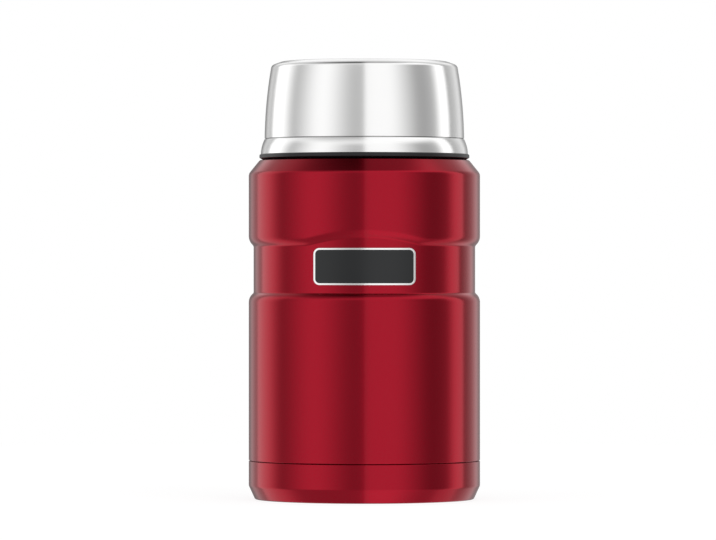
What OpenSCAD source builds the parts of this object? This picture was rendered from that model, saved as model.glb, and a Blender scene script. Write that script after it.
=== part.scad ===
// Insulated food jar: a double-walled steel vessel with a waisted body, a screw-in stopper
// and a steel serving bowl that screws over the neck as the lid.
// Millimetres, +Z up, origin at the middle of the foot, front of the jar towards -Y.

/* [Body] */
// Outer diameter of the two wide bands of the body
body_d = 100; // [94:0.5:108]
// Thickness of the steel sheet of both vessel walls
wall = 0.5; // [0.4:0.05:0.8]
// Height of the flat ledge on top of the shoulder
ledge_h = 146.6; // [140:0.5:165]
// How far the ledge is set in from the body's side
ledge_inset = 4.8; // [4:0.1:6]
// Height of the sloping shoulder
shoulder_h = 6.3; // [4:0.1:9]

/* [Waist] */
// How far the waist is set in from the bands
waist_depth = 2.1; // [1.4:0.1:2.4]
// Height of the lower corner of the waist
waist_low = 89; // [80:0.5:98]
// Height of the waist between its two corners
waist_h = 20.3; // [16:0.1:24]
// Height over which the lower and upper steps slope
step_run = 1.8; // [1.6:0.1:2.4]
// Radius of the edge between a band and its step
band_round = 4.8; // [3:0.2:5]
// Radius of the corner between the waist and its step
waist_round = 0.9; // [0.5:0.1:1]

/* [Arch over the badge] */
// How far the upper step of the waist rises in the middle of the arch
arch_rise = 3; // [2.8:0.1:4]
// How far the arch reaches beyond the badge on each side
arch_margin = 1; // [0:0.1:3]
// Height over which the arched step slopes
arch_run = 0.9; // [0.6:0.05:1]
// Radius of the edge between the band and the arched step
arch_round = 2.4; // [1.6:0.1:2.6]

/* [Badge] */
// Width of the badge, measured flat
badge_w = 43; // [34:0.5:44]
// Gap between the waist's lower corner and the badge
badge_foot_gap = 3.6; // [2:0.2:5]
// Gap between the badge and the waist's upper corner
badge_head_gap = 0.9; // [0.7:0.1:4]
// Outer corner radius of the badge
badge_corner = 2.6; // [1.5:0.1:4]
// Width of the raised frame around the badge
badge_frame_w = 0.9; // [0.6:0.1:1.4]
// Thickness of the frame
badge_frame_t = 0.55; // [0.4:0.05:0.8]
// How far the dark inlay lies below the face of the frame
badge_inlay_drop = 0.2; // [0.1:0.05:0.3]

/* [Base] */
// Height of the seam between the base cap and the shell
seam_h = 16.4; // [14:0.2:24]
// Half-width of the groove at the seam
seam_gap = 0.25; // [0.15:0.05:0.35]
// Wall of the base cap
cap_wall = 0.7; // [0.5:0.05:0.9]
// Height at which the foot chamfer meets the side
foot_chamfer_h = 5.9; // [4:0.1:6.5]
// How far the chamfer sets the foot in from the side
foot_inset = 2.7; // [1.5:0.1:4]
// Width of the flat ring that the jar stands on
foot_ring_w = 7.8; // [5:0.2:12]
// Height of the hollow inside that ring
foot_hollow = 2.2; // [1:0.1:2.6]

/* [Neck and mouth] */
// Height of the neck above the ledge
neck_h = 16.9; // [15:0.1:18]
// Gap between the neck and the bowl's lining, which the two threads share
neck_gap = 2.4; // [2:0.1:3]
// Width of the rolled lip
lip_w = 2.1; // [1.8:0.1:3]
// Depth of the sealing shelf below the lip
shelf_drop = 14.5; // [13.5:0.1:15]
// How far the sealing shelf reaches in from the mouth's wall
shelf_w = 3; // [2.6:0.1:3.6]

/* [Food vessel] */
// Gap between the two vessel walls at the waist
vacuum_gap = 3.9; // [3:0.1:8]
// Height of the vessel's floor
cavity_floor = 13; // [12.4:0.2:25]
// Radius between the vessel's side and its floor
cavity_round = 8; // [3:0.5:14]
// Height of the slope that draws the vessel in to the shelf
ceiling_h = 8; // [6:0.5:14]

/* [Stopper] */
// How far the grip stands out over the neck
grip_overhang = 0.3; // [0:0.1:0.6]
// Height of the grip
grip_h = 12; // [10:0.2:13]
// Number of flutes around the grip
flute_count = 28; // [16:4:36]
// Depth of each flute
flute_depth = 0.8; // [0.4:0.1:1]
// Length of the plug below the gasket's top
plug_h = 12; // [9:0.5:16]
// Wall of the stopper's body
stopper_wall = 2; // [1.4:0.1:2.4]
// Thickness of the gasket
gasket_h = 2.6; // [2:0.1:3.2]
// Depth of the finger wells beside the grip bar
well_depth = 6; // [5:0.2:7]
// Width of the grip bar
bar_w = 9; // [6:0.5:14]
// Radial gap between parts that move past each other
fit = 0.5; // [0.35:0.05:0.6]

/* [Serving bowl] */
// Height of the bowl from its hem to its crown
bowl_h = 38.9; // [37.5:0.1:44]
// How far the bowl's hem is set in from the ledge
hem_inset = 0.4; // [0:0.1:1]
// Height of the flared hem
hem_h = 6.6; // [5.6:0.1:7.4]
// How far the hem flares out
hem_flare = 1.65; // [1.2:0.05:1.9]
// How far the crown's edge is set in from the bowl's side above the hem
crown_inset = 3.2; // [2:0.1:4.5]
// How far the bowl's side bulges beyond a straight cone
bowl_bow = 0.85; // [0.6:0.05:1.4]
// Thickness of the bowl's two steel sheets
bowl_wall = 0.45; // [0.4:0.05:0.6]
// Air gap between the bowl's two sheets
bowl_gap = 0.95; // [0.7:0.05:1]
// Thickness of the black ring under the hem
ring_h = 2.7; // [2:0.1:4]
// How far the black ring stands out from the ledge
ring_overhang = 0.35; // [0.1:0.05:0.5]

/* [Hidden] */

// Facets around a full turn, around a small hole or pellet, and around the arch's large disc
round_steps = 180;
small_steps = 64;
arch_steps = 720;
// Straight pieces in each rounded corner of a profile, and in a bowed side
arc_steps = 6;
bow_steps = 6;
// How far a cutting body runs past what it cuts
overrun = 6;

// Radii of the body
body_r = body_d / 2;
waist_r = body_r - waist_depth;
ledge_r = body_r - ledge_inset;
tuck_r = body_r - cap_wall;
foot_r = body_r - foot_inset;

// Serving bowl
ring_z = ledge_h;
ring_top_z = ring_z + ring_h;
hem_z = ring_top_z + 0.15;
bowl_r = ledge_r - hem_inset - hem_flare;
crown_r = bowl_r - crown_inset;
crown_z = hem_z + bowl_h;
liner_r = bowl_r - 2 * bowl_wall - bowl_gap;
collar_top_z = hem_z + hem_h + 1.5;

// Neck, mouth and food vessel
neck_r = liner_r - neck_gap;
neck_foot_r = neck_r + 1.3;
mouth_r = neck_r - lip_w;
shelf_r = mouth_r - shelf_w;
cavity_r = waist_r - 2 * wall - vacuum_gap;
lip_z = ledge_h + neck_h;
shelf_z = lip_z - shelf_drop;
throat_h = 3.5;
ceiling_z = shelf_z - throat_h - ceiling_h;
flask_seam_z = cavity_floor + cavity_round + 1;
flask_under_z = cavity_floor - wall;

// Bottom of the outer vessel, which the base cap hides
tuck_h = 8;
tuck_z = seam_h - tuck_h;
vacuum_floor_z = foot_chamfer_h + 0.5;
dimple_h = 1.4;
dimple_z = vacuum_floor_z + dimple_h;

// The badge, and the arch over it. The arch is cut by a large disc whose axis runs front to
// back: seen on the round waist, its rim drops to the plain step at the ends of the arch.
badge_h = waist_h - badge_foot_gap - badge_head_gap;
badge_z = waist_low + badge_foot_gap + badge_h / 2;
waist_high = waist_low + waist_h;
arch_half_w = badge_w / 2 + arch_margin;
arch_r = 0.5 / (arch_rise / pow(arch_half_w, 2) - arch_run / (2 * waist_depth * body_r));
arch_foot_z = waist_high + arch_rise;

// Stopper
gasket_top_z = shelf_z + gasket_h;
plug_z = gasket_top_z - plug_h;
plug_r = shelf_r - fit;
thread_r = mouth_r - fit;
grip_r = neck_r + grip_overhang;
grip_z = lip_z + 0.3;
grip_top_z = grip_z + grip_h;
cover_t = 1.8;
cover_lip_h = 2.2;
cover_gap = 0.1;
cover_z = grip_top_z - cover_lip_h;
cover_r = grip_r - stopper_wall - cover_gap;
cover_seat_w = 1.8;
well_r = cover_r - 3.4;
well_slope = 2.6;
well_z = cover_z - well_depth;

// ---------- profiles ----------

function unit(v) = v / norm(v);
function left_of(v) = [-v.y, v.x];
function turned(v, a) = [v.x * cos(a) - v.y * sin(a), v.x * sin(a) + v.y * cos(a)];
function flat(p) = [p[0], p[1]];
function reversed(list) = [for (i = [len(list) - 1:-1:0]) list[i]];

// Points of an arc of radius r that rounds the corner b between a and c
function fillet(a, b, c, r) =
    let (
        u = unit(a - b),
        w = unit(c - b),
        half = acos(u * w) / 2,
        centre = b + unit(u + w) * r / sin(half),
        first = b + u * r / tan(half) - centre,
        last = b + w * r / tan(half) - centre,
        sweep = (180 - 2 * half) * sign(cross(first, last))
    )
    [for (k = [0:arc_steps]) centre + turned(first, sweep * k / arc_steps)];

// A list of corners [r, z] or [r, z, radius] becomes a path with its corners rounded
function rounded(corners) = [
    for (i = [0:len(corners) - 1])
        each len(corners[i]) < 3
            ? [corners[i]]
            : fillet(flat(corners[i - 1]), flat(corners[i]), flat(corners[i + 1]), corners[i][2])
];

// The same path moved by t to its left
function shifted(path, t) = [
    for (i = [0:len(path) - 1])
        let (
            j = max(i, 1),
            k = min(i, len(path) - 2),
            before = left_of(unit(path[j] - path[j - 1])),
            after = left_of(unit(path[k + 1] - path[k]))
        )
        path[i] + t * (before + after) / (1 + before * after)
];

// Outline of a sheet of thickness t that lies to the left of a path
function sheet(corners, t) =
    let (path = rounded(corners))
    concat(path, reversed(shifted(path, t)));

// Points between a and b on a curve that bulges by bow to the right of the line a-b
function bowed(a, b, bow) = [
    for (k = [1:bow_steps - 1])
        let (s = k / bow_steps)
        a + (b - a) * s - left_of(unit(b - a)) * 4 * bow * s * (1 - s)
];

// Revolves a sheet of metal, given its outer face from the bottom up
module spun(corners, t) {
    rotate_extrude($fn = round_steps) polygon(sheet(corners, t));
}

// Revolves a closed outline with rounded corners
module turned_ring(corners) {
    rotate_extrude($fn = round_steps) polygon(rounded(corners));
}

// ---------- outer vessel ----------

// Outer face of the shell from its tucked-in lower edge to the hole that takes the neck
edge_round = wall + 0.2;
shell_path = rounded([
    [tuck_r, tuck_z],
    [tuck_r, seam_h - 0.1, edge_round],
    [body_r, seam_h + cap_wall, edge_round],
    [body_r, waist_low - step_run, band_round],
    [waist_r, waist_low, waist_round],
    [waist_r, waist_high, waist_round],
    [body_r, waist_high + step_run, band_round],
    [body_r, ledge_h - shoulder_h, 1.5 * edge_round],
    [ledge_r, ledge_h, edge_round],
    [neck_foot_r, ledge_h]
]);

// What the arch takes out of a body that lies inset inside the shell's outer face. The disc's
// rim has the profile of the step, and the plain cylinder of the waist stops the cut.
module arch_cut(inset) {
    slope = arch_run / waist_depth;
    deeper = 2;
    flank_h = 7;
    centre_z = arch_foot_z - arch_r;
    face = shifted(rounded([
        [waist_r - deeper, arch_foot_z - deeper * slope],
        [body_r, arch_foot_z + arch_run, arch_round],
        [body_r + deeper, arch_foot_z + arch_run + flank_h]
    ]), inset);
    difference() {
        intersection() {
            translate([0, 0, centre_z])
                rotate([90, 0, 0])
                    rotate_extrude($fn = arch_steps)
                        polygon(concat(
                            [[0, face[0].x]],
                            [for (p = face) [p.y - centre_z, p.x]],
                            [[0, face[len(face) - 1].x]]
                        ));
            translate([-arch_half_w - overrun, -body_r - overrun, waist_high - waist_depth])
                cube([2 * (arch_half_w + overrun), body_r, ledge_h - waist_high]);
        }
        cylinder(r = waist_r - inset, h = ledge_h, $fn = round_steps);
    }
}

// The shell's outer form, solid
module shell_form() {
    difference() {
        rotate_extrude($fn = round_steps) polygon(concat([[0, tuck_z]], shell_path, [[0, ledge_h]]));
        arch_cut(0);
    }
}

// The space inside the shell, open at the foot and at the neck
module shell_space() {
    inner = shifted(shell_path, wall);
    difference() {
        rotate_extrude($fn = round_steps)
            polygon(concat(
                [[0, tuck_z - 1], [inner[0].x, tuck_z - 1]],
                inner,
                [[neck_foot_r, ledge_h + 1], [0, ledge_h + 1]]
            ));
        arch_cut(wall);
    }
}

// Outer wall of the jar: tucked in under the base cap, waisted, and drawn in at the shoulder
module outer_shell() {
    color("firebrick")
        difference() {
            shell_form();
            shell_space();
        }
}

// Bare neck, welded into the shoulder's ledge and rolled in at the lip
module neck_ring() {
    color("silver")
        spun([
            [neck_foot_r, ledge_h],
            [neck_r, ledge_h, 1.5 * edge_round],
            [neck_r, lip_z, 1.2 * edge_round],
            [mouth_r + wall, lip_z]
        ], wall);
}

// Cap pressed over the shell's lower end: it makes the chamfered foot
module base_cap() {
    ring_r = foot_r - foot_ring_w;
    hollow_round = 1.5;
    chamfer_round = 2.5;
    color("firebrick")
        spun([
            [0, foot_hollow],
            [ring_r - foot_hollow, foot_hollow, hollow_round],
            [ring_r, 0, hollow_round],
            [foot_r, 0, cap_wall + 0.2],
            [body_r, foot_chamfer_h, chamfer_round],
            [body_r, seam_h - seam_gap]
        ], cap_wall);
}

// Welded bottom of the outer vessel, with the dimple and vent through which it is evacuated
module vacuum_bottom() {
    rim_h = 3;
    rim_round = 2;
    dimple_r = 4.2;
    dimple_run = 1.6;
    vent_r = 0.6;
    color("silver")
        difference() {
            spun([
                [0, dimple_z],
                [dimple_r, dimple_z, wall + 0.3],
                [dimple_r + dimple_run, vacuum_floor_z, wall + 0.3],
                [tuck_r - wall, vacuum_floor_z, rim_round],
                [tuck_r - wall, tuck_z + rim_h]
            ], wall);
            translate([0, 0, vacuum_floor_z])
                cylinder(r = vent_r, h = dimple_h + 2 * wall, $fn = small_steps);
        }
}

// Solder bead that closes the vent
module seal_bead() {
    bead_h = 1.1;
    bead_r = 3;
    color("slategray")
        translate([0, 0, dimple_z - bead_h])
            turned_ring([[0, 0], [bead_r, 0, bead_h * 0.8], [bead_r, bead_h], [0, bead_h]]);
}

// ---------- inner vessel ----------

// Steel wall of the mouth, the sealing shelf and the side of the food vessel
module inner_flask() {
    side_round = 5;
    color("gainsboro")
        spun([
            [mouth_r, lip_z],
            [mouth_r, shelf_z, 0.5],
            [shelf_r, shelf_z, wall + 0.4],
            [shelf_r, shelf_z - throat_h, wall + 0.6],
            [cavity_r, ceiling_z, side_round],
            [cavity_r, flask_seam_z]
        ], wall);
}

// Drawn bottom of the food vessel, butt-welded to its side
module flask_bottom() {
    color("gainsboro")
        spun([
            [cavity_r, flask_seam_z],
            [cavity_r, cavity_floor, cavity_round],
            [0, cavity_floor]
        ], wall);
}

// Copper foil round the food vessel, against radiated heat
module foil_wrap() {
    foil_t = 0.15;
    foil_low = flask_seam_z + 3;
    foil_high = ceiling_z - 4;
    foil_r = cavity_r + wall;
    color("peru")
        turned_ring([
            [foil_r, foil_low], [foil_r + foil_t, foil_low],
            [foil_r + foil_t, foil_high], [foil_r, foil_high]
        ]);
}

// Getter pellet that keeps the vacuum, under the food vessel
getter_x = 18;
getter_r = 4;
getter_h = 2.2;

module getter() {
    color("dimgray")
        translate([getter_x, 0, flask_under_z - getter_h])
            cylinder(r = getter_r, h = getter_h, $fn = small_steps);
}

// Strap welded to the food vessel that holds the pellet
module getter_clip() {
    strap_t = 0.4;
    strap_w = 5;
    strap_bend = strap_t + 0.2;
    side = getter_r + fit;
    tab_end = side + 4;
    color("silver")
        translate([getter_x, strap_w / 2, flask_under_z])
            rotate([90, 0, 0])
                linear_extrude(strap_w)
                    polygon(sheet([
                        [-tab_end, 0],
                        [-side - strap_bend, 0, strap_bend],
                        [-side, -getter_h, strap_bend],
                        [side, -getter_h, strap_bend],
                        [side + strap_bend, 0, strap_bend],
                        [tab_end, 0]
                    ], -strap_t));
}

// ---------- badge ----------

// Rounded rectangle about the origin
module plate(w, h, r) {
    polygon(rounded([
        [w / 2, 0], [w / 2, h / 2, r], [-w / 2, h / 2, r],
        [-w / 2, -h / 2, r], [w / 2, -h / 2, r], [w / 2, -0.001]
    ]));
}

// Shell of thickness t that lies on the waist, cut to the plate's outline
module on_waist(w, h, r, t) {
    intersection() {
        difference() {
            cylinder(r = waist_r + t, h = ledge_h, $fn = round_steps);
            translate([0, 0, -1]) cylinder(r = waist_r, h = ledge_h + 2, $fn = round_steps);
        }
        translate([0, 0, badge_z])
            rotate([90, 0, 0])
                linear_extrude(body_r + overrun) plate(w, h, r);
    }
}

// Size and corner of the inlay, inside the frame
inlay_w = badge_w - 2 * badge_frame_w;
inlay_h = badge_h - 2 * badge_frame_w;
inlay_corner = badge_corner - badge_frame_w;

// Raised metal frame of the blank badge
module badge_frame() {
    color("white")
        difference() {
            on_waist(badge_w, badge_h, badge_corner, badge_frame_t);
            translate([0, 0, badge_z])
                rotate([90, 0, 0])
                    linear_extrude(body_r + 2 * overrun) plate(inlay_w, inlay_h, inlay_corner);
        }
}

// Dark plate inside the frame
module badge_inlay() {
    color([0.17, 0.18, 0.18])
        on_waist(inlay_w, inlay_h, inlay_corner, badge_frame_t - badge_inlay_drop);
}

// ---------- stopper ----------

// Silicone ring on the sealing shelf, with a lip towards the mouth's wall
module stopper_gasket() {
    outer = mouth_r - fit + 0.1;
    inner = shelf_r + 0.2;
    lead = 0.6;
    lip = 0.9;
    crest = 0.5;
    lip_round = 0.3;
    color("lightgray")
        turned_ring([
            [inner, shelf_z + lead],
            [inner + lead, shelf_z],
            [outer - lip, shelf_z],
            [outer, shelf_z + lip, lip_round],
            [outer, gasket_top_z - crest, lip_round],
            [outer - crest, gasket_top_z],
            [inner, gasket_top_z]
        ]);
}

// Hollow body of the stopper: plug, threaded barrel and fluted grip
module stopper_body() {
    flute_r = 3;
    flute_foot_h = 1.6;
    inner_round = 0.8;
    seat_z = cover_z - cover_t;
    seat_r = cover_r - cover_seat_w;
    color([0.1, 0.1, 0.1])
        difference() {
            turned_ring([
                [0, plug_z],
                [plug_r, plug_z, 1.5],
                [plug_r, gasket_top_z],
                [thread_r, gasket_top_z, 0.4],
                [thread_r, grip_z],
                [grip_r, grip_z, 0.8],
                [grip_r, grip_top_z, 1.2],
                [cover_r + cover_gap, grip_top_z],
                [cover_r + cover_gap, seat_z],
                [seat_r, seat_z],
                [seat_r, grip_z + stopper_wall, inner_round],
                [thread_r - stopper_wall, grip_z],
                [thread_r - stopper_wall, gasket_top_z + stopper_wall, inner_round],
                [plug_r - stopper_wall, gasket_top_z],
                [plug_r - stopper_wall, plug_z + stopper_wall, inner_round],
                [0, plug_z + stopper_wall]
            ]);
            for (i = [0:flute_count - 1])
                rotate([0, 0, i * 360 / flute_count])
                    translate([grip_r + flute_r - flute_depth, 0, grip_z + flute_foot_h])
                        cylinder(r = flute_r, h = grip_h, $fn = small_steps);
        }
}

// Dished cover of the stopper, with a bar to turn it by
module stopper_cover() {
    bar_top_z = grip_top_z - 0.6;
    bar_low_z = well_z - cover_t / 2;
    bar_flare = 1;
    bar_round = 2;
    bar_r = well_r + 1;
    bar_end_round = 1.2;
    well_round = 2.5;
    rim_round = cover_t + 0.4;
    color([0.16, 0.16, 0.16]) {
        spun([
            [0, well_z],
            [well_r - well_slope, well_z, well_round],
            [well_r, cover_z, rim_round],
            [cover_r, cover_z]
        ], -cover_t);
        intersection() {
            rotate([90, 0, 90])
                translate([0, 0, -body_r])
                    linear_extrude(body_d)
                        polygon(rounded([
                            [bar_w / 2 + bar_flare, bar_low_z],
                            [bar_w / 2, bar_top_z, bar_round],
                            [-bar_w / 2, bar_top_z, bar_round],
                            [-bar_w / 2 - bar_flare, bar_low_z]
                        ]));
            turned_ring([
                [0, bar_low_z],
                [well_r - well_slope, bar_low_z],
                [well_r - well_slope, well_z],
                [bar_r, cover_z - cover_t / 2],
                [bar_r, bar_top_z, bar_end_round],
                [0, bar_top_z]
            ]);
        }
    }
}

// Foam disc that fills the stopper
module stopper_foam() {
    gap = 0.4;
    step_z = gasket_top_z + stopper_wall + 0.6;
    low_r = plug_r - stopper_wall - gap;
    high_r = thread_r - stopper_wall - gap;
    top_z = well_z - cover_t - gap;
    color("ivory")
        turned_ring([
            [0, plug_z + stopper_wall],
            [low_r, plug_z + stopper_wall, 1.4],
            [low_r, step_z],
            [high_r, step_z],
            [high_r, top_z],
            [0, top_z]
        ]);
}

// ---------- serving bowl ----------

// Outer face of the bowl's flared hem
hem_corners = [
    [bowl_r + hem_flare, hem_z],
    [bowl_r + 0.76 * hem_flare, hem_z + 0.6 * hem_h, 1],
    [bowl_r, hem_z + hem_h, 1]
];

// Black ring on the shoulder's ledge, under the bowl's hem
module bowl_ring() {
    outer = ledge_r + ring_overhang;
    inner = liner_r + 0.2;
    bead = 0.48 * ring_h;
    color([0.08, 0.08, 0.08])
        turned_ring([
            [inner, ring_z],
            [outer, ring_z, bead],
            [outer, ring_top_z, bead],
            [inner, ring_top_z]
        ]);
}

// Outer sheet of the bowl: flared hem, bowed side and a crown with a shallow sink
module bowl_shell() {
    side_low = [bowl_r, hem_z + hem_h];
    side_top = [crown_r, crown_z - 1];
    rim_w = 4.4;
    rim_round = 6;
    sink_r = 0.76 * crown_r;
    sink_depth = 1;
    sink_round = 1.2;
    color("silver")
        spun([
            each hem_corners,
            each bowed(side_low, side_top, bowl_bow),
            [each side_top, 2.6],
            [crown_r - rim_w, crown_z, rim_round],
            [sink_r, crown_z, sink_round],
            [sink_r - sink_round, crown_z - sink_depth, sink_round],
            [0, crown_z - sink_depth]
        ], bowl_wall);
}

// Inner sheet, which holds the food when the bowl is turned over
module bowl_liner() {
    top_z = crown_z - 3.2;
    low = [liner_r, collar_top_z];
    top = [crown_r - bowl_wall - bowl_gap - 0.6, top_z];
    color("gainsboro")
        spun([
            low,
            each bowed(low, top, bowl_bow),
            [each top, 4],
            [0, top_z]
        ], -bowl_wall);
}

// Black collar between the two sheets, which carries the bowl's thread
module bowl_collar() {
    outer = shifted(rounded([each hem_corners, [bowl_r, collar_top_z]]), bowl_wall);
    color([0.08, 0.08, 0.08])
        rotate_extrude($fn = round_steps)
            polygon(concat(
                [[liner_r, ring_top_z], [outer[0].x, ring_top_z]],
                outer,
                [[liner_r, collar_top_z]]
            ));
}

outer_shell();
neck_ring();
base_cap();
vacuum_bottom();
inner_flask();
flask_bottom();
foil_wrap();
getter();
getter_clip();
seal_bead();
badge_frame();
badge_inlay();
stopper_gasket();
stopper_body();
stopper_cover();
stopper_foam();
bowl_ring();
bowl_shell();
bowl_liner();
bowl_collar();
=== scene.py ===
# %% [markdown]
# # An insulated food jar
# The solid model of the jar is loaded as a frame that nothing here moves. On it come smooth
# pieces with real finishes: a tinted metallic paint over steel, brushed steel, black plastic
# and pale silicone. Each piece rides on the body that carries it, so the lid and the stopper
# still turn and lift.

# %% Load the frame
from math import asin, atan2, copysign, cos, hypot, pi, radians, sin, sqrt, tan, tau

import bmesh
import bpy
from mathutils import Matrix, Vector


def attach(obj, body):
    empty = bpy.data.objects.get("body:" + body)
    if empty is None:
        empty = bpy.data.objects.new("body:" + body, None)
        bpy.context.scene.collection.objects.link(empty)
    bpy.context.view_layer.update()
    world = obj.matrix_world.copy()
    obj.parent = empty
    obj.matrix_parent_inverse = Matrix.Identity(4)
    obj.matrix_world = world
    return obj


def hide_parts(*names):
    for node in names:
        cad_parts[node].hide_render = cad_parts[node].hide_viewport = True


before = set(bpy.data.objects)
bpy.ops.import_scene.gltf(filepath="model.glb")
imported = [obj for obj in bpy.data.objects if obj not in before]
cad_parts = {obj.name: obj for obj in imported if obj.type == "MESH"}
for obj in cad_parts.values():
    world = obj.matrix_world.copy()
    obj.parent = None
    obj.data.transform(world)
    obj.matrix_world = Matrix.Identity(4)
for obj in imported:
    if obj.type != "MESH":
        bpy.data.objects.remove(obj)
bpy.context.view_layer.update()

MM = 0.001

# %% [markdown]
# ## Profiles
# Nearly all of the jar is turned or pressed round one axis, so a piece starts as a profile: a
# list of corners (r, z) in millimetres. A third number rounds that corner. The arcs are worked
# out in Python and not with the bevel operator, because each corner has its own radius and the
# next corner may be close.


# %% Corners become a path
def flat(corner):
    return Vector(corner[:2])


def rounded(corners, steps=8):
    """The path through these corners, with an arc of short steps at each one that has a radius."""
    path = []
    for i, corner in enumerate(corners):
        b = flat(corner)
        if len(corner) < 3:
            path.append(b)
            continue
        to_last = (flat(corners[i - 1]) - b).normalized()
        to_next = (flat(corners[i + 1]) - b).normalized()
        half = to_last.angle(to_next) / 2
        centre = b + (to_last + to_next).normalized() * corner[2] / sin(half)
        first = b + to_last * corner[2] / tan(half) - centre
        turn_by = pi - 2 * half
        if to_last.x * to_next.y - to_last.y * to_next.x > 0:
            turn_by = -turn_by
        for k in range(steps + 1):
            a = turn_by * k / steps
            path.append(centre + Vector((
                first.x * cos(a) - first.y * sin(a), first.x * sin(a) + first.y * cos(a)
            )))
    return path


def bowed(a, b, bow, steps):
    """Corners between a and b on a curve that bulges away from the axis by bow."""
    a, b = Vector(a), Vector(b)
    out = Vector((b.y - a.y, a.x - b.x)).normalized()
    return [
        tuple(a.lerp(b, k / steps) + out * 4 * bow * (k / steps) * (1 - k / steps))
        for k in range(1, steps)
    ]


print("One rounded corner becomes", len(rounded([(0, 0), (1, 0, 0.2), (1, 1)])) - 2, "points")

# %% [markdown]
# ## Turning a profile
# A lathe turns metal round an axis, and the spin operator does the same. The profile is drawn
# by extruding a single point from corner to corner, as one would by hand with the E key, and
# then spun in one go. Everything is deselected first: an operator works on all that is selected.


# %% Draw and turn a profile
def deselect_all():
    """Leaves edit mode, with no object selected."""
    if bpy.context.mode != "OBJECT":
        bpy.ops.object.mode_set(mode="OBJECT")
    bpy.ops.object.select_all(action="DESELECT")


def pick(piece):
    """Makes this piece the only one that is selected, and the active one."""
    deselect_all()
    piece.select_set(True)
    bpy.context.view_layer.objects.active = piece


def trace(name, points):
    """One point, extruded through these points in millimetres. Leaves edit mode on."""
    deselect_all()
    bpy.ops.mesh.primitive_plane_add(size=MM)
    piece = bpy.context.object
    piece.name = piece.data.name = name
    bpy.ops.object.mode_set(mode="EDIT")
    bpy.ops.mesh.select_all(action="SELECT")
    bpy.ops.mesh.merge(type="CENTER")
    last = (0, 0, 0)
    for k, point in enumerate(points):
        step = {"value": [(to - at) * MM for at, to in zip(last, point)]}
        if k == 0:
            bpy.ops.transform.translate(**step)
        else:
            bpy.ops.mesh.extrude_region_move(TRANSFORM_OT_translate=step)
        last = point
    return piece


def draw(name, path):
    """A path of points (r, z) as a line of edges at the back of the jar."""
    return trace(name, [(0, r, z) for r, z in path])


def merge_doubles():
    """Merges the points that lie on each other."""
    bpy.ops.mesh.select_all(action="SELECT")
    bpy.ops.mesh.remove_doubles(threshold=0.002 * MM)


def turn(name, path, around=256):
    """Spins the path round the axis and closes seam and poles."""
    piece = draw(name, path)
    bpy.ops.mesh.select_all(action="SELECT")
    bpy.ops.mesh.spin(steps=around, angle=tau, center=(0, 0, 0), axis=(0, 0, 1))
    merge_doubles()
    bpy.ops.mesh.normals_make_consistent(inside=False)
    bpy.ops.object.mode_set(mode="OBJECT")
    return piece


# %% Modify, thicken and settle a piece
def modify(piece, kind, **settings):
    """Adds a modifier, sets it and applies it."""
    pick(piece)
    bpy.ops.object.modifier_add(type=kind)
    modifier = piece.modifiers[-1]
    for name, value in settings.items():
        setattr(modifier, name, value)
    bpy.ops.object.modifier_apply(modifier=modifier.name)


def give_wall(piece, wall):
    """Turns an outer face into a sheet of that thickness, grown inwards."""
    modify(piece, "SOLIDIFY", thickness=wall * MM, offset=-1, use_even_offset=True)


def settle(piece, body, slot, *nodes, angle=35):
    """Smooth shading, and the body and the nodes that the piece stands for. The material slot is
    not used.
    """
    pick(piece)
    bpy.ops.object.shade_smooth_by_angle(angle=radians(angle))
    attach(piece, body)
    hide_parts(*nodes)
    across = max(v.co.x for v in piece.data.vertices) / MM
    heights = [v.co.z / MM for v in piece.data.vertices]
    print(f"{piece.name}: {len(piece.data.polygons)} faces, to {across:.2f} mm from the middle,"
          f" z {min(heights):.2f} to {max(heights):.2f}")
    return piece


# %% [markdown]
# ## Painted shell
# The outer wall is one steel tube, drawn in to a waist and to the shoulder. Its upper step
# rises over the badge as a low arch. One could cut that arch out, but a cut leaves a hard edge
# in the shading. Here the tube is turned with a plain waist, and then the upper step is lifted
# column by column, along a parabola whose ends run out softly into the level step.

# %% The shell's profile
BODY_R, WAIST_R, TUCK_R = 50.0, 47.9, 49.3
SEAM_Z, WAIST_LOW, WAIST_HIGH, LOW_STEP, HIGH_STEP = 16.4, 89.15, 109.3, 1.8, 2.4
LEDGE_R, LEDGE_Z, NECK_R, PAINT_END_R = 45.2, 146.6, 38.9, 40.2
STEEL_WALL = 0.5

shell_corners = [
    (TUCK_R, 8.4),
    (TUCK_R, SEAM_Z + 0.25, 0.25),
    (BODY_R, SEAM_Z + 0.5, 0.3),
    (BODY_R, 50.0),
    (BODY_R, WAIST_LOW - LOW_STEP, 4.8),
    (WAIST_R, WAIST_LOW, 0.9),
    (WAIST_R, WAIST_HIGH, 1.3),
    (BODY_R, WAIST_HIGH + HIGH_STEP, 5.3),
    (BODY_R, LEDGE_Z - 5.95, 3.0),
    (LEDGE_R, LEDGE_Z, 1.5),
    (PAINT_END_R, LEDGE_Z),
]
AROUND = 360
shell = turn("shell_paint", rounded(shell_corners), AROUND)

# %% The arch over the badge
ARCH_HALF, ARCH_RISE, ARCH_REACH, ARCH_RUN_OUT = 25.0, 3.5, 1.25, 0.02
BELOW_STEP, ABOVE_STEP = 1.0, 4.0  # both are more than the step's roundings reach


def select_only(mesh, vertices):
    """Selects these vertices of a mesh in edit mode, and no others."""
    bpy.ops.mesh.select_all(action="DESELECT")
    for v in vertices:
        v.select_set(True)
    mesh.select_flush_mode()


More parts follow.
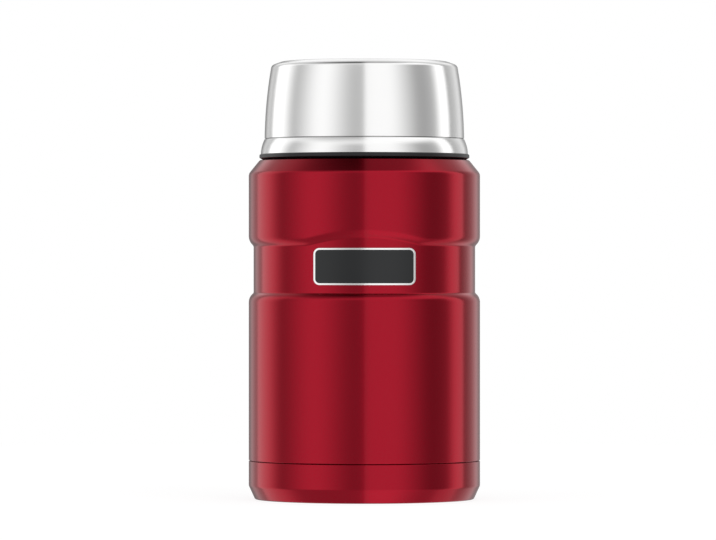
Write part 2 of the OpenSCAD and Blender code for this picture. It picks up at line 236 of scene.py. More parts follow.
bpy.ops.object.mode_set(mode="EDIT")
mesh = bmesh.from_edit_mesh(shell.data)
step_low, step_high = WAIST_HIGH - BELOW_STEP, WAIST_HIGH + HIGH_STEP + ABOVE_STEP
columns = {}
for v in mesh.verts:
    x, y, z = v.co / MM
    if y < 0 and step_low < z < step_high and abs(x) < ARCH_REACH * ARCH_HALF:
        columns.setdefault(round(asin(abs(x) / hypot(x, y)) / tau * AROUND), []).append(v)
for number, column in columns.items():
    across = BODY_R * sin(number * tau / AROUND) / ARCH_HALF
    above_ends = 1 - across ** 2
    rise = (above_ends + sqrt(above_ends ** 2 + ARCH_RUN_OUT)) / 2
    select_only(mesh, column)
    bpy.ops.transform.translate(value=(0, 0, ARCH_RISE * rise * MM))
bpy.ops.object.mode_set(mode="OBJECT")
give_wall(shell, STEEL_WALL)
settle(shell, "jar", "red_paint", "outer_shell")
print("Columns under the arch:", 2 * len(columns) - 1)

# %% [markdown]
# ## Base cap
# The foot is a second pressing, pushed over the shell's tucked end. Only its thin shadow line
# shows, so the cap's upper edge gets its own small rounding to catch the light.

# %% The base cap
CAP_WALL = 0.65

base = turn("base_paint", rounded([
    (0, 2.2), (37.3, 2.2, 1.5), (39.5, 0, 1.5), (47.3, 0, 0.9), (BODY_R, 5.9, 2.5),
    (BODY_R, SEAM_Z + 0.1, 0.2), (TUCK_R + 0.02, SEAM_Z + 0.1),
]), AROUND)
give_wall(base, CAP_WALL)
settle(base, "jar", "red_paint", "base_cap")

# %% [markdown]
# ## Neck and food vessel
# The neck is a ring of bare steel of its own, welded into the shoulder's ledge. It carries a
# rolled thread bead for the bowl. The food vessel meets it at the lip, and a fine seam shows
# between them. Both could be turned as closed rings. It is simpler to turn the one face that
# shows and to give it a wall, because the wall is then the same everywhere.

# %% Bare neck and food vessel
LIP_Z, MOUTH_R, SHELF_Z, SHELF_R = 163.5, 36.8, 149.0, 33.8
CEILING_Z, CAVITY_R, FLOOR_Z, NECK_WALL = 137.5, 43.0, 13.0, 0.45

neck = turn("neck_steel", rounded([
    (PAINT_END_R, LEDGE_Z + 0.02), (NECK_R, LEDGE_Z + 0.02, 1.05), (NECK_R, LIP_Z, 0.9),
    (MOUTH_R + 0.54, LIP_Z, 0.2), (MOUTH_R + 0.52, LIP_Z - 0.6),
]))
give_wall(neck, NECK_WALL)
settle(neck, "jar", "plain_steel", "neck_ring")

vessel = turn("vessel_steel", rounded([
    (MOUTH_R + 0.48, LIP_Z), (MOUTH_R, LIP_Z, 0.25), (MOUTH_R, SHELF_Z, 0.8),
    (SHELF_R, SHELF_Z, 0.9), (SHELF_R, SHELF_Z - 3.5, 1.1), (CAVITY_R, CEILING_Z, 5),
    (CAVITY_R, FLOOR_Z, 8), (0, FLOOR_Z),
]))
give_wall(vessel, STEEL_WALL)
settle(vessel, "jar", "plain_steel", "inner_flask", "flask_bottom")

# %% [markdown]
# ## Screw threads
# A thread is a small bead wound round a helix. The screw modifier winds it, and the ends are
# then sunk into the wall so that the bead starts and stops gently, as a rolled thread does.


# %% Wind a thread
BEAD = ((-1, 0), (-0.4, 0.75), (-0.12, 1), (0.12, 1), (0.4, 0.75), (1, 0))
ROOT, PITCH, STEPS_A_TURN, END_STEPS, SINK = 0.3, 4.5, 96, 8, 1.15


def thread(name, body, slot, node, wall_r, height, z, turns, width=2.4):
    """A bead on a wall of radius wall_r, from z upwards. A negative height stands inwards.

    BEAD gives the bead's outline in halves of its width and in heights. Its root lies in the
    wall, and over the last END_STEPS each end sinks by SINK heights.
    """
    half, root_r = width / 2, wall_r - copysign(ROOT, height)
    outline = [Vector(corner) for corner in (
        (root_r, z - half), *((wall_r + out * height, z + up * half) for up, out in BEAD),
        (root_r, z + half),
    )]
    piece = draw(name, outline + outline[:1])
    merge_doubles()
    bpy.ops.object.mode_set(mode="OBJECT")
    steps = round(STEPS_A_TURN * turns)
    modify(
        piece, "SCREW", angle=tau * turns, screw_offset=PITCH * turns * MM, steps=steps,
        render_steps=steps, axis="Z",
    )
    bpy.ops.object.mode_set(mode="EDIT")
    mesh = bmesh.from_edit_mesh(piece.data)
    ring = len(outline)
    rings = len(mesh.verts) // ring
    for k in (*range(END_STEPS), *range(rings - END_STEPS, rings)):
        from_end = min(k, rings - 1 - k) / END_STEPS
        depth = SINK * height * (1 - sin(from_end * pi / 2))
        mesh.verts.ensure_lookup_table()
        select_only(mesh, mesh.verts[k * ring:(k + 1) * ring])
        sunk = 1 - depth / (wall_r + height)
        bpy.ops.transform.resize(value=(sunk, sunk, 1), center_override=(0, 0, 0))
    bpy.ops.mesh.select_all(action="DESELECT")
    bpy.ops.mesh.select_non_manifold()
    bpy.ops.mesh.edge_face_add()
    bpy.ops.mesh.select_all(action="SELECT")
    bpy.ops.mesh.normals_make_consistent(inside=False)
    bpy.ops.object.mode_set(mode="OBJECT")
    return settle(piece, body, slot, node, angle=50)


neck_thread = thread("neck_thread", "jar", "plain_steel", "neck_ring",
                     wall_r=NECK_R, height=0.95, z=151.2, turns=1.25)

# %% [markdown]
# ## Badge
# The badge is a thin blank plate that follows the round waist: a dark field in a bright frame.
# It starts as one flat face with round corners, and cuts divide it into upright strips so that
# it can bend. The cast modifier presses it on to the waist, and solidify gives it thickness.

# %% A flat plate, and how it is pressed on
BADGE_W, BADGE_H, BADGE_Z, BADGE_CORNER, FRAME_W = 43.0, 15.8, 100.5, 2.6, 0.9
STRIPS = 64


def stretched(x):
    """Where a point of the flat plate has to start to end up x from the middle."""
    return WAIST_R * tan(asin(x / WAIST_R))


def plate_outline(w, h, r, steps=8):
    """Points round a rounded rectangle, anticlockwise from the lower right corner's start."""
    points = []
    for k, (sx, sy) in enumerate(((1, -1), (1, 1), (-1, 1), (-1, -1))):
        for s in range(steps + 1):
            a = pi / 2 * (k - 1 + s / steps)
            points.append((sx * (w / 2 - r) + r * cos(a), sy * (h / 2 - r) + r * sin(a)))
    return points


def plate(name, w, h, r):
    """A flat rounded plate just before the waist."""
    piece = trace(name, [(x, -WAIST_R, z + BADGE_Z) for x, z in plate_outline(w, h, r)])
    bpy.ops.mesh.select_all(action="SELECT")
    bpy.ops.mesh.edge_face_add()
    return piece


def press_on_waist(piece, proud, thickness):
    """Cuts the flat plate into strips and presses it on to the waist, to stand that proud."""
    for k in range(1 - STRIPS // 2, STRIPS // 2):
        bpy.ops.mesh.select_all(action="SELECT")
        bpy.ops.mesh.bisect(plane_co=(BADGE_W / STRIPS * k * MM, 0, 0), plane_no=(1, 0, 0))
    bpy.ops.object.mode_set(mode="OBJECT")
    for v in piece.data.vertices:
        v.co.x = stretched(v.co.x / MM) * MM
    modify(
        piece, "CAST", cast_type="CYLINDER", factor=1, size=(WAIST_R + proud) * MM,
        use_radius_as_size=False, use_z=False,
    )
    give_wall(piece, thickness)


# %% Field and frame of the badge
field = plate("badge_field", BADGE_W - 2 * FRAME_W, BADGE_H - 2 * FRAME_W, BADGE_CORNER - FRAME_W)
press_on_waist(field, proud=0.35, thickness=0.33)
settle(field, "jar", "badge_enamel", "badge_inlay")

rim = plate("badge_rim", BADGE_W, BADGE_H, BADGE_CORNER)
bpy.ops.mesh.select_all(action="SELECT")
bpy.ops.mesh.inset(thickness=FRAME_W * MM, depth=0, use_even_offset=True)
bpy.ops.mesh.delete(type="FACE")
press_on_waist(rim, proud=0.55, thickness=0.53)
modify(rim, "BEVEL", width=0.14 * MM, segments=3, limit_method="ANGLE", angle_limit=radians(50))
settle(rim, "jar", "badge_metal", "badge_frame")

# %% [markdown]
# ## Black ring and steel bowl
# The bowl is a double cup that screws over the neck, upside down, as the lid. A black ring
# lies between its hem and the ledge, cut back below so that it casts a shadow line. The outer
# sheet has a flared hem with a fine groove above it, a side that bulges a little, a crown that
# rises softly from its edge, and a shallow sink in that crown.

# %% Black ring
HEM_Z, HEM_TOP, CROWN_Z, BOWL_R, CROWN_R, LINER_R = 149.1, 155.6, 189.15, 43.15, 40.2, 41.3
SHEET, SINK_DEPTH = 0.45, 1.4
RING_R, RING_IN_R, RING_LOW, RING_HIGH = 45.4, 41.5, LEDGE_Z + 0.02, HEM_Z - 0.05

ring = turn("seal_ring", rounded([
    (RING_IN_R, RING_LOW), (RING_R - 1.6, RING_LOW), (RING_R, RING_LOW + 0.88, 0.4),
    (RING_R, RING_HIGH, 0.6), (RING_IN_R, RING_HIGH), (RING_IN_R, RING_LOW),
]))
settle(ring, "ring", "black_plastic", "bowl_ring")

# %% Outer sheet of the bowl
hem_edge, hem_end = (BOWL_R + 1.65, HEM_Z), (BOWL_R + 0.05, HEM_TOP - 0.1)
groove = [(BOWL_R - 0.4, HEM_TOP), (BOWL_R - 0.4, HEM_TOP + 0.12), (BOWL_R, HEM_TOP + 0.36)]
side_foot, side_top = (BOWL_R, HEM_TOP + 0.6), (CROWN_R, CROWN_Z - 1.65)
bowl = turn("bowl_steel", rounded([
    hem_edge, *bowed(hem_edge, hem_end, 0.36, 12), (*hem_end, 0.12),
    *groove,
    side_foot, *bowed(side_foot, side_top, 0.62, 10)[:-1], (*side_top, 2.2),
    (35.6, CROWN_Z, 6.0), (31.0, CROWN_Z, 1.5),
    (29.4, CROWN_Z - SINK_DEPTH, 1.5), (0, CROWN_Z - SINK_DEPTH),
]), AROUND)
give_wall(bowl, SHEET)
settle(bowl, "bowl", "brushed_steel", "bowl_shell", angle=22)

# %% Lining, collar and thread of the bowl
COLLAR_TOP, LINING_TOP = 157.5, 185.15
foot, head = (LINER_R, COLLAR_TOP + 0.05), (37.95, LINING_TOP)
lining = turn("bowl_lining", rounded([
    foot, *bowed(foot, head, 0.85, 6), (*head, 4), (0, LINING_TOP),
]))
bpy.ops.object.mode_set(mode="EDIT")
bpy.ops.mesh.select_all(action="SELECT")
bpy.ops.mesh.flip_normals()
bpy.ops.object.mode_set(mode="OBJECT")
give_wall(lining, SHEET)
settle(lining, "bowl", "plain_steel", "bowl_liner")

collar = turn("bowl_collar_plastic", rounded([
    (LINER_R, 149.35, 0.3), (44.15, 149.35), (BOWL_R + 0.35, 153.0, 1),
    (BOWL_R - 0.9, HEM_TOP - 0.5, 0.5), (BOWL_R - 0.9, COLLAR_TOP), (LINER_R, COLLAR_TOP, 0.3),
    (LINER_R, 149.8),
]))
settle(collar, "bowl", "black_plastic", "bowl_collar")
bowl_thread = thread("bowl_thread", "bowl", "black_plastic", "bowl_collar",
                     wall_r=LINER_R, height=-0.95, z=150.8, turns=1.15)

# %% [markdown]
# ## Stopper
# The stopper is moulded in one go: a plug, a barrel with its thread, and a grip with flutes for
# the fingers. Flutes could be cut with 28 cylinders. Booleans leave ragged shading, so the grip
# is turned with 16 columns to a flute, and the columns in each flute are drawn in towards the
# axis. The lowest row is drawn in only in part, so the flutes run out softly at their foot.

# %% Stopper body
GASKET_TOP, GRIP_Z, GRIP_TOP, GRIP_R, BARREL_R = 151.6, 163.8, 175.8, 39.2, 35.4
FLUTES, PER_FLUTE = 28, 16

stopper = turn("stopper_black", rounded([
    (0, 139.6), (33.3, 139.6, 1.5), (33.3, GASKET_TOP), (BARREL_R, GASKET_TOP, 0.4),
    (BARREL_R, GRIP_Z, 0.8), (GRIP_R, GRIP_Z, 0.8), (GRIP_R, GRIP_Z + 1.5),
    (GRIP_R, GRIP_Z + 1.8), (GRIP_R, GRIP_Z + 2.3), (GRIP_R, GRIP_TOP, 1.2),
    (37.2, GRIP_TOP, 0.4), (37.2, 171.8), (35.3, 171.8), (35.3, 165.8), (33.6, 164.0),
    (33.6, 153.6), (31.3, 152.0), (31.3, 141.6), (0, 141.6),
]), FLUTES * PER_FLUTE)

# %% The flutes
FLUTE_R, FLUTE_DEPTH = 3.0, 0.8
FLUTE_REACH = 1.3  # from the grip's face inwards, so past the rounding of its top edge
FOOT_ROW, FULL_ROWS = (1.75, 2.0, 0.55), (2.0, 20.0, 1.0)  # from, to, share of the depth

bpy.ops.object.mode_set(mode="EDIT")
mesh = bmesh.from_edit_mesh(stopper.data)
spacing = tau * GRIP_R / FLUTES / PER_FLUTE
columns = {}
for v in mesh.verts:
    x, y, z = v.co / MM
    if hypot(x, y) > GRIP_R - FLUTE_REACH:
        columns.setdefault(round(atan2(y, x) / tau * FLUTES * PER_FLUTE) % PER_FLUTE, []).append(v)
for low, high, share in (FOOT_ROW, FULL_ROWS):
    for off in range(-4, 5):
        depth = share * (sqrt(FLUTE_R ** 2 - (off * spacing) ** 2) - FLUTE_R + FLUTE_DEPTH)
        if depth > 0:
            column = columns[off % PER_FLUTE]
            select_only(mesh, [v for v in column if GRIP_Z + low < v.co.z / MM < GRIP_Z + high])
            drawn_in = 1 - depth / GRIP_R
            bpy.ops.transform.resize(value=(drawn_in, drawn_in, 1), center_override=(0, 0, 0))
bpy.ops.object.mode_set(mode="OBJECT")
settle(stopper, "stopper", "black_plastic", "stopper_body")

# %% Threads of the stopper and of the mouth
stopper_thread = thread("stopper_thread", "stopper", "black_plastic", "stopper_body",
                        wall_r=BARREL_R, height=0.85, z=154.4, turns=1.5)
mouth_thread = thread("mouth_thread", "jar", "plain_steel", "inner_flask",
                      wall_r=MOUTH_R, height=-0.35, z=153.2, turns=1.25, width=1.6)

# %% [markdown]
# ## Cover and gasket
# The cover is a separate disc with a round well and a bar across it to turn the stopper by. The
# bar starts as a disc that two cuts narrow to a strip, so its ends keep the curve of the well.

# %% Cover
COVER_Z, COVER_R, WELL_R, WELL_Z, COVER_WALL = 173.6, 37.1, 33.7, 167.6, 1.8
BAR_TOP, BAR_SUNK, BAR_FOOT_HALF, BAR_HEAD_HALF = 175.2, 0.5, 5.5, 4.5

cover = turn("cover_dish", rounded([
    (0, WELL_Z), (WELL_R - 2.6, WELL_Z, 2.5), (WELL_R, COVER_Z, 2.0), (COVER_R, COVER_Z, 0.3),
    (COVER_R, COVER_Z - 1.75), (WELL_R - 0.9, COVER_Z - COVER_WALL),
    (WELL_R - 3.6, WELL_Z - COVER_WALL), (0, WELL_Z - COVER_WALL),
]))
settle(cover, "stopper", "black_plastic", "stopper_cover")

# %% Bar across the cover
deselect_all()
bpy.ops.mesh.primitive_circle_add(
    vertices=160, radius=(WELL_R + 0.9) * MM, fill_type="NGON",
    location=(0, 0, (WELL_Z - BAR_SUNK) * MM),
)
bar = bpy.context.object
bar.name = bar.data.name = "cover_bar"
bpy.ops.object.transform_apply(location=True, rotation=False, scale=False)
bpy.ops.object.mode_set(mode="EDIT")
for side_y in (-1, 1):
    bpy.ops.mesh.select_all(action="SELECT")
    bpy.ops.mesh.bisect(
        plane_co=(0, BAR_FOOT_HALF * side_y * MM, 0), plane_no=(0, side_y, 0), clear_outer=True
    )
bpy.ops.mesh.select_all(action="SELECT")
bpy.ops.mesh.extrude_region_move(
    TRANSFORM_OT_translate={"value": (0, 0, (BAR_TOP - WELL_Z + BAR_SUNK) * MM)}
)
bpy.ops.transform.resize(value=(1, BAR_HEAD_HALF / BAR_FOOT_HALF, 1), center_override=(0, 0, 0))
bpy.ops.mesh.select_all(action="SELECT")
bpy.ops.mesh.normals_make_consistent(inside=False)
bpy.ops.object.mode_set(mode="OBJECT")
modify(bar, "BEVEL", width=1.1 * MM, segments=6, limit_method="ANGLE", angle_limit=radians(50))
settle(bar, "stopper", "black_plastic", "stopper_cover", angle=40)

# %% Gasket
gasket = turn("gasket_ring", rounded([
    (34.0, SHELF_Z + 0.6), (34.6, SHELF_Z, 0.25), (35.5, SHELF_Z, 0.25),
    (36.4, SHELF_Z + 0.9, 0.3), (36.4, GASKET_TOP - 0.5, 0.3), (35.9, GASKET_TOP, 0.2),
    (34.0, GASKET_TOP), (34.0, SHELF_Z + 0.6),
]))
settle(gasket, "gasket", "silicone", "stopper_gasket")

# %% [markdown]
# ## Finishes
# Each finish is written as shader maths. A small class wraps a socket, and Python's operators
# on it add Math nodes. Sizes in a pattern are real ones, because the maths reads the object's
# own coordinates in metres.


# %% Shader maths
class Signal:
    """A node's output. Python's operators on it add Math nodes."""

    def __init__(self, board, socket):
        self.board, self.socket = board, socket

    def _math(self, operation, *values):
        return self.board.node("ShaderNodeMath", {"operation": operation}, dict(enumerate(values)))

    def __add__(self, other): return self._math("ADD", self, other)
    def __radd__(self, other): return self._math("ADD", other, self)
    def __sub__(self, other): return self._math("SUBTRACT", self, other)
    def __rsub__(self, other): return self._math("SUBTRACT", other, self)
    def __mul__(self, other): return self._math("MULTIPLY", self, other)
    def __rmul__(self, other): return self._math("MULTIPLY", other, self)
    def __pow__(self, other): return self._math("POWER", self, other)

    def above(self, low, high):
        """0 below low, 1 above high, smooth between them."""
        return self.board.node(
            "ShaderNodeMapRange", {"interpolation_type": "SMOOTHSTEP"},
            {"Value": self, "From Min": low, "From Max": high},
        )


class Board:
    """A node tree, of a material or of the world."""

    def __init__(self, owner):
        owner.use_nodes = True
        self.tree = owner.node_tree

    def node(self, kind, settings=None, sockets=None, out=0):
        """Adds a node, with its settings first and then its sockets' values or links."""
        made = self.tree.nodes.new(kind)
        for name, value in (settings or {}).items():
            setattr(made, name, value)
        for name, value in (sockets or {}).items():
            if isinstance(value, Signal):
                self.tree.links.new(value.socket, made.inputs[name])
            else:
                made.inputs[name].default_value = value
        return Signal(self, made.outputs[out])

    def split(self, vector):
        """The x, y and z of a vector."""
        return [
            self.node("ShaderNodeSeparateXYZ", sockets={0: vector}, out=axis) for axis in "XYZ"
        ]


# %% A finish
class Finish(Board):
    """A material on a principled shader. Constants are set on the shader's own sockets."""

    def __init__(self, name, **constants):
        self.material = bpy.data.materials.new(name)
        super().__init__(self.material)
        self.shader = self.tree.nodes["Principled BSDF"]
        for socket, value in constants.items():
            self.shader.inputs[socket.replace("_", " ")].default_value = value

    def place(self):
        """The point on the object, in metres."""
        return self.node("ShaderNodeTexCoord", out="Object")

    def vector(self, x, y, z):
        return self.node("ShaderNodeCombineXYZ", sockets={0: x, 1: y, 2: z})

    def noise(self, vector, scale, detail=3, roughness=0.5):
        return self.node("ShaderNodeTexNoise", sockets={
            "Vector": vector, "Scale": scale, "Detail": detail, "Roughness": roughness,
        })

    def mix(self, factor, a, b):
        """A blend of two colours. They are the node's sockets 6 and 7, and its output 2."""
        return self.node("ShaderNodeMix", {"data_type": "RGBA"}, {0: factor, 6: a, 7: b}, out=2)

    def bump(self, height, depth):
        return self.node("ShaderNodeBump", sockets={"Distance": depth, "Height": height})

    def feed(self, **signals):
        """Links signals to the shader's sockets."""
        for name, signal in signals.items():
            self.tree.links.new(signal.socket, self.shader.inputs[name.replace("_", " ")])


def colour(tone, share=1):
    """A tone, or a share of it, as a socket takes it."""
    return (*(share * t for t in tone), 1)


def wear(finish, *pieces):
    """Gives each piece this finish and no other."""
    for piece in pieces:
        piece.data.materials.clear()
        piece.data.materials.append(finish.material)
    print(f"{finish.material.name} on", ", ".join(piece.name for piece in pieces))


# %% [markdown]
# ## Tinted metallic paint
# The red is a see-through lacquer over bright metal, so it is a metal with a red reflection
# under a clear coat. Up close it has fine flakes and a faint orange-peel skin.

# %% Red paint
MICRON, FLAKES_A_METRE = 0.001 * MM, 3200
DEEP_RED, LIGHT_RED = (0.28, 0.0038, 0.014), (0.32, 0.0048, 0.018)

paint = Finish("red_paint", Metallic=1.0, Coat_Weight=0.15, Coat_Roughness=0.02)
at = paint.place()
flakes = paint.node("ShaderNodeTexVoronoi", sockets={
    "Vector": at, "Scale": FLAKES_A_METRE,
}, out="Color")
flake = paint.node("ShaderNodeSeparateXYZ", sockets={0: flakes})
peel = paint.noise(at, scale=420, detail=2)
cloud = paint.noise(at, scale=18)
paint.feed(
    Base_Color=paint.mix(0.25 * flake + 0.5 * cloud, colour(DEEP_RED), colour(LIGHT_RED)),
    Roughness=0.165 + 0.02 * flake + 0.02 * cloud,
    Normal=paint.bump(peel + 0.02 * flake, depth=4 * MICRON),
)
wear(paint, shell, base)

# %% [markdown]
# ## Steels
# The bowl is brushed on a turning spindle, so its marks run round the axis: the noise is
# squeezed along the profile and stretched round it. The inner steel is only polished.


# %% Brushed and bare steel
STRETCHED_ROUND = 30  # the noise's scale round the axis, against thousands along the profile
# Painted shade in a groove: the core and soft edge of a dark line, and the share of the tone left
# in it.
GROOVE_SHADE_CORE, GROOVE_SHADE_EDGE, GROOVE_SHADE_TONE = 0.12 * MM, 0.3 * MM, 0.25


def brushed(name, tone, roughness, marks, depth, groove=None):
    """Steel with marks round the axis. At a groove, the base colour gets a thin line of painted
    shade.
    """
    steel = Finish(name, Metallic=1.0, Roughness=roughness)
    at = steel.place()
    x, y, z = steel.split(at)
    along = (z - (x * x + y * y) ** 0.5) * marks
    squeezed = steel.vector(x * STRETCHED_ROUND, y * STRETCHED_ROUND, along)
    lines = steel.noise(squeezed, scale=1, detail=4, roughness=0.6)
    cloud = steel.noise(at, scale=35)
    base = steel.mix(0.7 * lines + 0.3 * cloud, colour(tone, 0.92), colour(tone))
    # Painted shade: the base colour is darkened in a thin line at the groove's height, where the
    # crease lies in shadow.
    if groove:
        from_shaded_groove = ((z - groove * MM) ** 2) ** 0.5
        inside = 1 - from_shaded_groove.above(GROOVE_SHADE_CORE, GROOVE_SHADE_EDGE)
        base = steel.mix(0.5 * inside, base, colour(tone, GROOVE_SHADE_TONE))
    steel.feed(
        Base_Color=base,
        Roughness=roughness - 0.04 + 0.08 * lines,
        Normal=steel.bump(lines, depth),
    )
    return steel


# The bowl's steel gets a line of painted shade at the groove above the hem.
bowl_steel = brushed("brushed_steel", (0.82, 0.818, 0.815), 0.18, marks=5000, depth=2 * MICRON,
                     groove=HEM_TOP + 0.06)
bare_steel = brushed("plain_steel", (0.58, 0.57, 0.56), 0.2, marks=3000, depth=3 * MICRON)
wear(bowl_steel, bowl)
wear(bare_steel, neck, neck_thread, mouth_thread, vessel, lining)

# %% [markdown]
# ## Plastic and badge
# The ring, the collar and the stopper are moulded plastic, with a fine, dull grain from the
# mould. The grain could be modelled or sculpted, but noise in the shader needs no more faces.
# The badge is a dark lacquered field, made the same way with a broader and shallower grain, in
# a bright steel frame.


# %% Plastic and badge
def moulded(name, tone, roughness, grain=1500, depth=20 * MICRON, **constants):
    """A dull skin with a fine grain, and a little lighter here and there."""
    plastic = Finish(name, Roughness=roughness, **constants)
    at = plastic.place()
    fine = plastic.noise(at, grain, detail=2)
    broad = plastic.noise(at, scale=40)
    plastic.feed(
        Base_Color=plastic.mix(0.5 * fine + 0.5 * broad, colour(tone), colour(tone, 1.25)),
        Roughness=roughness - 0.05 + 0.1 * broad,
        Normal=plastic.bump(fine, depth),
    )
    return plastic


black = moulded("black_plastic", (0.009, 0.009, 0.01), 0.36, Specular_IOR_Level=0.3)
dark_field = moulded("badge_enamel", (0.012, 0.013, 0.014), 0.3, 900, 8 * MICRON,
                     Specular_IOR_Level=0.3)
bright_rim = brushed("badge_metal", (0.82, 0.82, 0.82), 0.18, marks=2500, depth=MICRON)
wear(black, ring, collar, bowl_thread, stopper, stopper_thread, cover, bar)
wear(dark_field, field)
wear(bright_rim, rim)

# %% [markdown]
# ## Inside pieces
# The pieces between the walls never show, so no smooth piece is made for them: each finish goes
# on the solid itself. The stopper's pale silicone gasket does show when the stopper is out.

# %% Finishes on the solids that stay
raw = brushed("raw_steel", (0.5, 0.49, 0.47), 0.35, marks=1500, depth=10 * MICRON)
copper = brushed("copper_foil", (0.75, 0.38, 0.22), 0.25, marks=800, depth=20 * MICRON)
sinter = moulded("getter_grey", (0.1, 0.1, 0.1), 0.8, 4000, 50 * MICRON)
solder = moulded("solder", (0.3, 0.3, 0.3), 0.4, 1000, 30 * MICRON, Metallic=1.0)
foam = moulded("white_foam", (0.6, 0.58, 0.5), 0.9, 900, 100 * MICRON)
silicone = moulded("silicone", (0.5, 0.5, 0.48), 0.45, 800, 10 * MICRON)
for name, finish in {
    "vacuum_bottom": raw, "getter_clip": raw, "foil_wrap": copper, "getter": sinter,
    "seal_bead": solder, "stopper_foam": foam,
}.items():
    wear(finish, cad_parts[name])
wear(silicone, gasket)

# %% [markdown]
# ## Studio
# Metal and lacquer show what stands round them. The surround is therefore a ring of soft
# lights and dark cards, written in the world's own nodes by angle from the front. Only
# reflections see it. The camera sees plain white, and matt surfaces get an even light.
#
# The upright walls mirror `around_jar`. A light level round the jar is a base and a list of
# bands, each from one angle to another, in degrees from the front and growing to the right.
# Faces that look down mirror `under_jar`, and the crown mirrors `overhead`: dark at the zenith
# on the left, bright on the right, and a pale wall far behind.

# %% Angle from the front
world = bpy.data.worlds.new("studio")
bpy.context.scene.world = world
studio = Board(world)
side, back, up = studio.split(studio.node("ShaderNodeTexCoord", out="Generated"))
turned = studio.node(
    "ShaderNodeMath", {"operation": "ARCTAN2"}, {0: side, 1: back * -1}
) * (180 / pi)


def band(start, end, rise, fall, level):
    """A light, or a dark card, from one angle to another, with soft edges."""
    return turned.above(start, start + rise) * (1 - turned.above(end - fall, end)) * level


# %% Levels round the jar and below it
around_jar = (
    0.6
    + band(-0.4, 66, 0.8, 38, 0.64)
    + band(54, 96, 18, 22, -0.15)
    + band(88, 118, 16, 4, 0.88)
    + band(116, 127, 2, 6, -0.14)
    + turned.above(126, 146) * 0.3
    + turned.above(147, 161) * -0.52
    + band(-94, -8, 42, 42, 0.66)
    + band(-136, -88, 5, 26, 0.84)
    + (1 - turned.above(-150, -136)) * 0.14
    + (1 - turned.above(-163, -150)) * -0.45
)
under_jar = (
    0.72
    + band(-0.4, 80, 0.8, 50, 0.75)
    + band(84, 126, 12, 12, 0.35)
    + turned.above(115, 140) * 0.5
    + turned.above(150, 168) * -0.7
    + band(-134, -78, 4, 30, 0.55)
    + (1 - turned.above(-168, -150)) * -0.4
)
print("The levels round the jar take", len(studio.tree.nodes), "nodes")

# %% Levels above the jar
on_right = side.above(-0.02, 0.02)
over_left = 0.04 + 2.5 * (1 - up)
over_right = 1.3 - 0.75 * up.above(0.78, 0.93)
overhead = over_left + (over_right - over_left) * on_right
far_back = back.above(0.62, 0.85)
overhead = overhead + (0.76 + 0.4 * far_back - overhead) * back.above(0.1, 0.45)
mirrored = around_jar + (overhead - around_jar) * (up + 0.2 * far_back).above(0.4, 0.65)
mirrored = mirrored + (under_jar - mirrored) * (up * -1).above(0.3, 0.6)

# %% Who sees the surround
EVEN = 0.75
camera_ray = studio.node("ShaderNodeLightPath", out="Is Camera Ray")
glossy_ray = studio.node("ShaderNodeLightPath", out="Is Glossy Ray")
matt = EVEN * (1 - glossy_ray) + mirrored * glossy_ray
seen = matt * (1 - camera_ray) + camera_ray
surround = studio.tree.nodes["Background"]
surround.inputs["Color"].default_value = (1, 1, 1, 1)
studio.tree.links.new(seen.socket, surround.inputs["Strength"])
print("The surround takes", len(studio.tree.nodes), "nodes")

# %% [markdown]
# ## Floor and lamps
# The floor is a pale disc. The camera sees it as white but for the jar's soft shadow, because
# most of its light is its own, for camera rays only. It is left out of reflections, so the lights
# of the surround run down to the foot. Two area lamps give the shadow and shape the matt pieces.

# %% Floor
FLOOR_R, FLOOR_DROP, FLOOR_GLOW, OWN_LIGHT = 0.7, 0.05 * MM, 1.13, 0.75

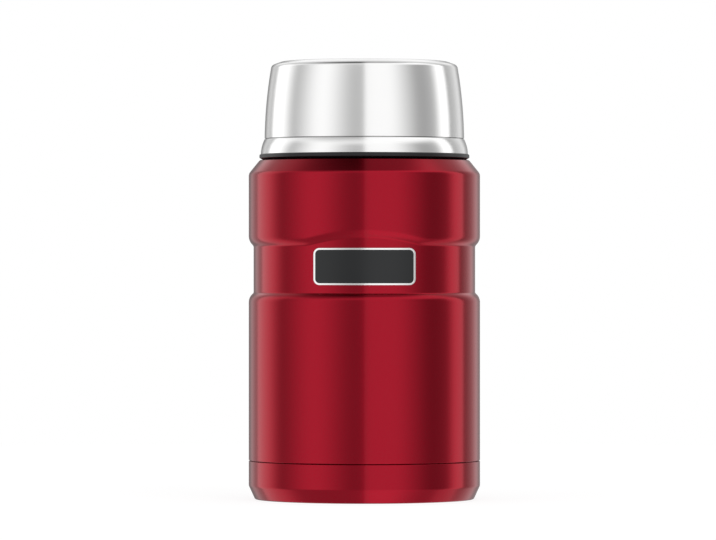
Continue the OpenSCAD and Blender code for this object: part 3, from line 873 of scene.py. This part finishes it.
deselect_all()
bpy.ops.mesh.primitive_circle_add(
    vertices=96, radius=FLOOR_R, fill_type="NGON", location=(0, 0, -FLOOR_DROP)
)
floor = bpy.context.object
floor.name = "floor"
floor.visible_glossy = False
pale = Finish("pale_floor", Base_Color=colour((0.8, 0.8, 0.8)), Roughness=0.9,
              Specular_IOR_Level=0.0)
straight = pale.node("ShaderNodeLightPath", out="Is Camera Ray")
lit = Signal(pale, pale.shader.outputs[0])
glow = pale.node("ShaderNodeEmission", sockets={"Strength": FLOOR_GLOW})
white = pale.node("ShaderNodeMixShader", sockets={0: OWN_LIGHT, 1: lit, 2: glow})
total = pale.node("ShaderNodeMixShader", sockets={0: straight, 1: lit, 2: white})
pale.tree.links.new(total.socket, pale.tree.nodes["Material Output"].inputs[0])
wear(pale, floor)

# %% Lamps
LAMP_SIDE, LAMP_AWAY, LAMP_TILT, AIM_Z = 0.9, 1.6, radians(35), 0.1


def soft_box(name, angle, level):
    """A square lamp at that angle from the front, tilted down at the middle of the jar."""
    lamp = bpy.data.objects.new(name, bpy.data.lights.new(name, "AREA"))
    bpy.context.collection.objects.link(lamp)
    lamp.data.shape = "SQUARE"
    lamp.data.size = LAMP_SIDE
    lamp.data.energy = level * pi * LAMP_SIDE * LAMP_SIDE
    turn_by, out = radians(angle), LAMP_AWAY * cos(LAMP_TILT)
    lamp.location = (
        out * sin(turn_by), -out * cos(turn_by), LAMP_AWAY * sin(LAMP_TILT) + AIM_Z
    )
    lamp.rotation_euler = (pi / 2 - LAMP_TILT, 0, turn_by)
    lamp.visible_camera = lamp.visible_glossy = False
    print(f"Lamp {name}: {lamp.data.energy:.2f} W, {angle} degrees from the front")


soft_box("key", 35, 1.6)
soft_box("fill", -50, 1.0)

# %% [markdown]
# ## Camera
# The camera is level and far away, with a long lens, so the jar's upright lines stay parallel.

# %% Camera
LENS, DISTANCE, EYE_Z, EYE_X = 260.0, 2.237, 0.09903, -0.00276
camera = bpy.data.objects.new("camera", bpy.data.cameras.new("camera"))
bpy.context.collection.objects.link(camera)
camera.data.lens = LENS
camera.location = (EYE_X, -DISTANCE, EYE_Z)
camera.rotation_euler = (pi / 2, 0, 0)
bpy.context.scene.camera = camera
bpy.context.scene.view_settings.view_transform = "Standard"
print(f"The {LENS:.0f} mm lens is {DISTANCE:.3f} m away and {EYE_Z / MM:.1f} mm high")

# %% [markdown]
# ## The end
# Each piece printed its size as it was settled: a smooth piece should be as large as the
# solid that it stands for.

# %% The end
print("The scene is built")
